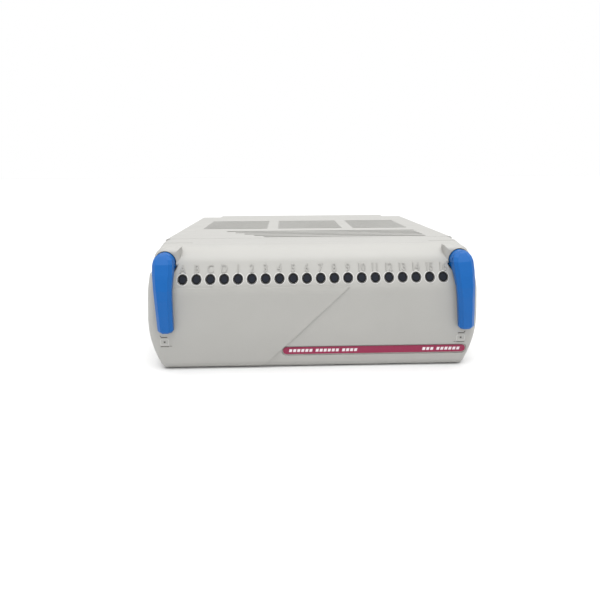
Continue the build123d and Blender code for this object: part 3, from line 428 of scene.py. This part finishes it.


# ---------------------------------------------------------------- rims round the lamps: a painted highlight ring and a painted shade ring
def lamp_rings(name, ring_radius, ring_thickness, material):
    """A thin ring round every lamp window."""
    shape = Shape(name, lamps=LAMP_COUNT, pitch=LAMP_PITCH, radius=ring_radius, thickness=ring_thickness)
    pitch = shape.size("pitch")
    ring = shape.add("GeometryNodeCurvePrimitiveCircle", {}, {
        "Resolution": 40, "Radius": shape.size("radius")})
    section = shape.add("GeometryNodeCurvePrimitiveCircle", {}, {
        "Resolution": 10, "Radius": shape.size("thickness")})
    tube = shape.add("GeometryNodeCurveToMesh", {}, {"Curve": ring, "Profile Curve": section})
    upright = shape.add("GeometryNodeTransform", {}, {"Geometry": tube, "Rotation": (pi / 2, 0, 0)})
    first = shape.vector(pitch * (0.5 - LAMP_COUNT / 2), 0.0, LAMP_ROW_HEIGHT)
    rims = shape.row_of(upright, shape.size("lamps"), shape.vector(pitch), first)
    mesh = shape.mesh(rims, material)
    lay_on(mesh, cover_surface)
    keep_piece(mesh, name)


# pale rings: painted highlight on the chamfered edge round each lamp window
lamp_rings("lamp_rim_highlights", RIM_RADIUS, RIM_THICKNESS, painted_highlight_grey)
# black rings: painted shade in the gap between each lens and its window
lamp_rings("lamp_gap_shades", GAP_SHADE_RADIUS, GAP_SHADE_THICKNESS, holder_black)


# ---------------------------------------------------------------- characters above the lamps
def lamp_x(index):
    return (index - (LAMP_COUNT - 1) / 2) * LAMP_PITCH


def lamp_characters():
    """The raised letter or number over each lamp, coloured darker than the case as painted shade on its
    strokes.
    """
    parts = []
    for index, word in enumerate(LAMP_NAMES):
        curve = bpy.data.curves.new("lamp_character", "FONT")
        curve.body = word
        curve.size = CHARACTER_SIZE
        curve.align_x = "CENTER"
        curve.extrude = CHARACTER_RISE - CHARACTER_BEVEL
        curve.bevel_depth = CHARACTER_BEVEL
        curve.space_character = 0.92
        text = bpy.data.objects.new("lamp_character", curve)
        bpy.context.scene.collection.objects.link(text)
        mesh = plain_mesh(text, "lamp_character")
        for vertex in mesh.vertices:
            across, up, out = vertex.co
            vertex.co = (lamp_x(index) + across * CHARACTER_WIDTH, out + 0.02 * MM, CHARACTER_FOOT + up)
        lay_on(mesh, cover_surface)
        parts.append(mesh)
    joined_vertices, joined_faces = [], []
    for mesh in parts:
        start = len(joined_vertices)
        joined_vertices += [tuple(v.co) for v in mesh.vertices]
        joined_faces += [tuple(start + i for i in p.vertices) for p in mesh.polygons]
    return new_piece("lamp_characters", joined_vertices, joined_faces, character_painted_shade_grey)


lamp_characters()


# ---------------------------------------------------------------- padlock signs below the levers
def padlock_signs():
    """Raised outline of a padlock over a base line, below each lever: the outline painted pale as
    highlight, the other marks painted dark as shade.
    """
    outlines, marks = [], []
    for side in (-1, 1):
        x, z = side * SIGN_X, SIGN_CENTRE
        for edge in (-1, 1):
            upright = x + edge * (SIGN_WIDTH - SIGN_LINE) / 2
            level = z + edge * (SIGN_HEIGHT - SIGN_LINE) / 2
            outlines.append((upright, z, SIGN_LINE, SIGN_HEIGHT, SIGN_RISE))
            outlines.append((x, level, SIGN_WIDTH, SIGN_LINE, SIGN_RISE))
        keyhole = (x, z, 0.7 * MM, 0.7 * MM, SIGN_RISE)
        shackle = (x, z + 1.85 * MM, 2.4 * MM, 0.42 * MM, SIGN_RISE)
        open_end = (x + side * 1.25 * MM, z + 2.25 * MM, 0.4 * MM, 0.8 * MM, SIGN_RISE, side * 0.22 * MM)
        base_line = (x, z - 1.75 * MM, 3.2 * MM, 0.36 * MM, SIGN_RISE)
        base_end = (x - side * 2.2 * MM, z - 1.6 * MM, 0.7 * MM, 0.24 * MM, SIGN_RISE)
        marks += [keyhole, shackle, open_end, base_line, base_end]
    # pale outline: painted highlight; dark keyhole, shackle and base line: painted shade of the moulded
    # lines
    bars("padlock_outline_highlights", outlines, painted_highlight_grey, cover_surface)
    bars("padlock_shade_marks", marks, painted_shade_grey, cover_surface)


padlock_signs()


# ---------------------------------------------------------------- print on the label strip
def strip_print():
    """Plain blocks where a label has its words: a long line at the left, a short one at the right."""
    low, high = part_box("label_strip")
    middle = (low.z + high.z) / 2
    letter, gap, space, slant = 1.1 * MM, 0.42 * MM, 1.25 * MM, 0.12 * MM
    left_line = (low.x + 2.3 * MM, (6, 6, 4))
    right_line = (high.x - 16.2 * MM, (3, 6))
    places = []
    for x, words in (left_line, right_line):
        for word in words:
            for _ in range(word):
                places.append((x + letter / 2, middle, letter, PRINT_HEIGHT, PRINT_RISE, slant))
                x += letter + gap
            x += space - gap
    bars("strip_print", places, label_white, strip_surface)


strip_print()


# ---------------------------------------------------------------- camera, floor and light
camera_data = bpy.data.cameras.new("camera")
camera_data.lens = 28.8
camera_data.sensor_width = 36.0
camera_data.clip_start = 0.01
look_down, roll, look_right = 15.14, 0.3, 1.765
camera = bpy.data.objects.new("camera", camera_data)
camera.location = (-0.0101, -0.2342, 0.072)
camera.rotation_euler = (radians(90 - look_down), radians(roll), radians(-look_right))
bpy.context.scene.collection.objects.link(camera)
bpy.context.scene.camera = camera


def floor_plane():
    """A wide plain floor under the module."""
    mesh = bpy.data.meshes.new("floor")
    half = 4.0      # of its side
    corners = [(x * half, y * half, FLOOR_LEVEL) for x, y in ((-1, -1), (1, -1), (1, 1), (-1, 1))]
    mesh.from_pydata(corners, [], [(0, 1, 2, 3)])
    finish = Finish("floor_white")
    tone = finish.noise(8, 3.0)
    finish.feed("Base Color", finish.blend(tone, paint(220, 220, 220), paint(223, 223, 223)))
    finish.feed("Roughness", 0.6 + tone * 0.1)
    mesh.materials.append(finish.material)
    floor = bpy.data.objects.new("floor", mesh)
    bpy.context.scene.collection.objects.link(floor)


def soft_light(name, place, aim, size, power):
    data = bpy.data.lights.new(name, "AREA")
    data.shape = "RECTANGLE"
    data.size, data.size_y = size
    data.energy = power
    light = bpy.data.objects.new(name, data)
    light.location = place
    light.rotation_euler = (Vector(aim) - Vector(place)).to_track_quat("-Z", "Y").to_euler()
    bpy.context.scene.collection.objects.link(light)


floor_plane()
soft_light("top_light", place=(0.05, -0.3, 0.85), aim=(0, 0, 0.03), size=(0.9, 0.35), power=2.4)


def studio_world(strength, overhead):
    """Plain white to look at; it lights the module with this strength, and more so from overhead."""
    world = bpy.data.worlds.new("studio")
    bpy.context.scene.world = world
    world.use_nodes = True
    graph = Graph()
    graph.tree = world.node_tree
    background = world.node_tree.nodes["Background"]
    background.inputs["Color"].default_value = (1, 1, 1, 1)
    seen = graph.add("ShaderNodeLightPath", output="Is Camera Ray")
    direction = graph.add("ShaderNodeTexCoord", output="Generated")
    height = graph.add("ShaderNodeSeparateXYZ", {}, {"Vector": direction}, output="Z")
    level = graph.add("ShaderNodeMath", {"operation": "POWER"}, {0: height, 1: 4.0}) * overhead + strength
    graph.tree.links.new((seen + (1 - seen) * level).socket, background.inputs["Strength"])


studio_world(strength=0.78, overhead=2.5)
bpy.context.scene.view_settings.view_transform = "Standard"
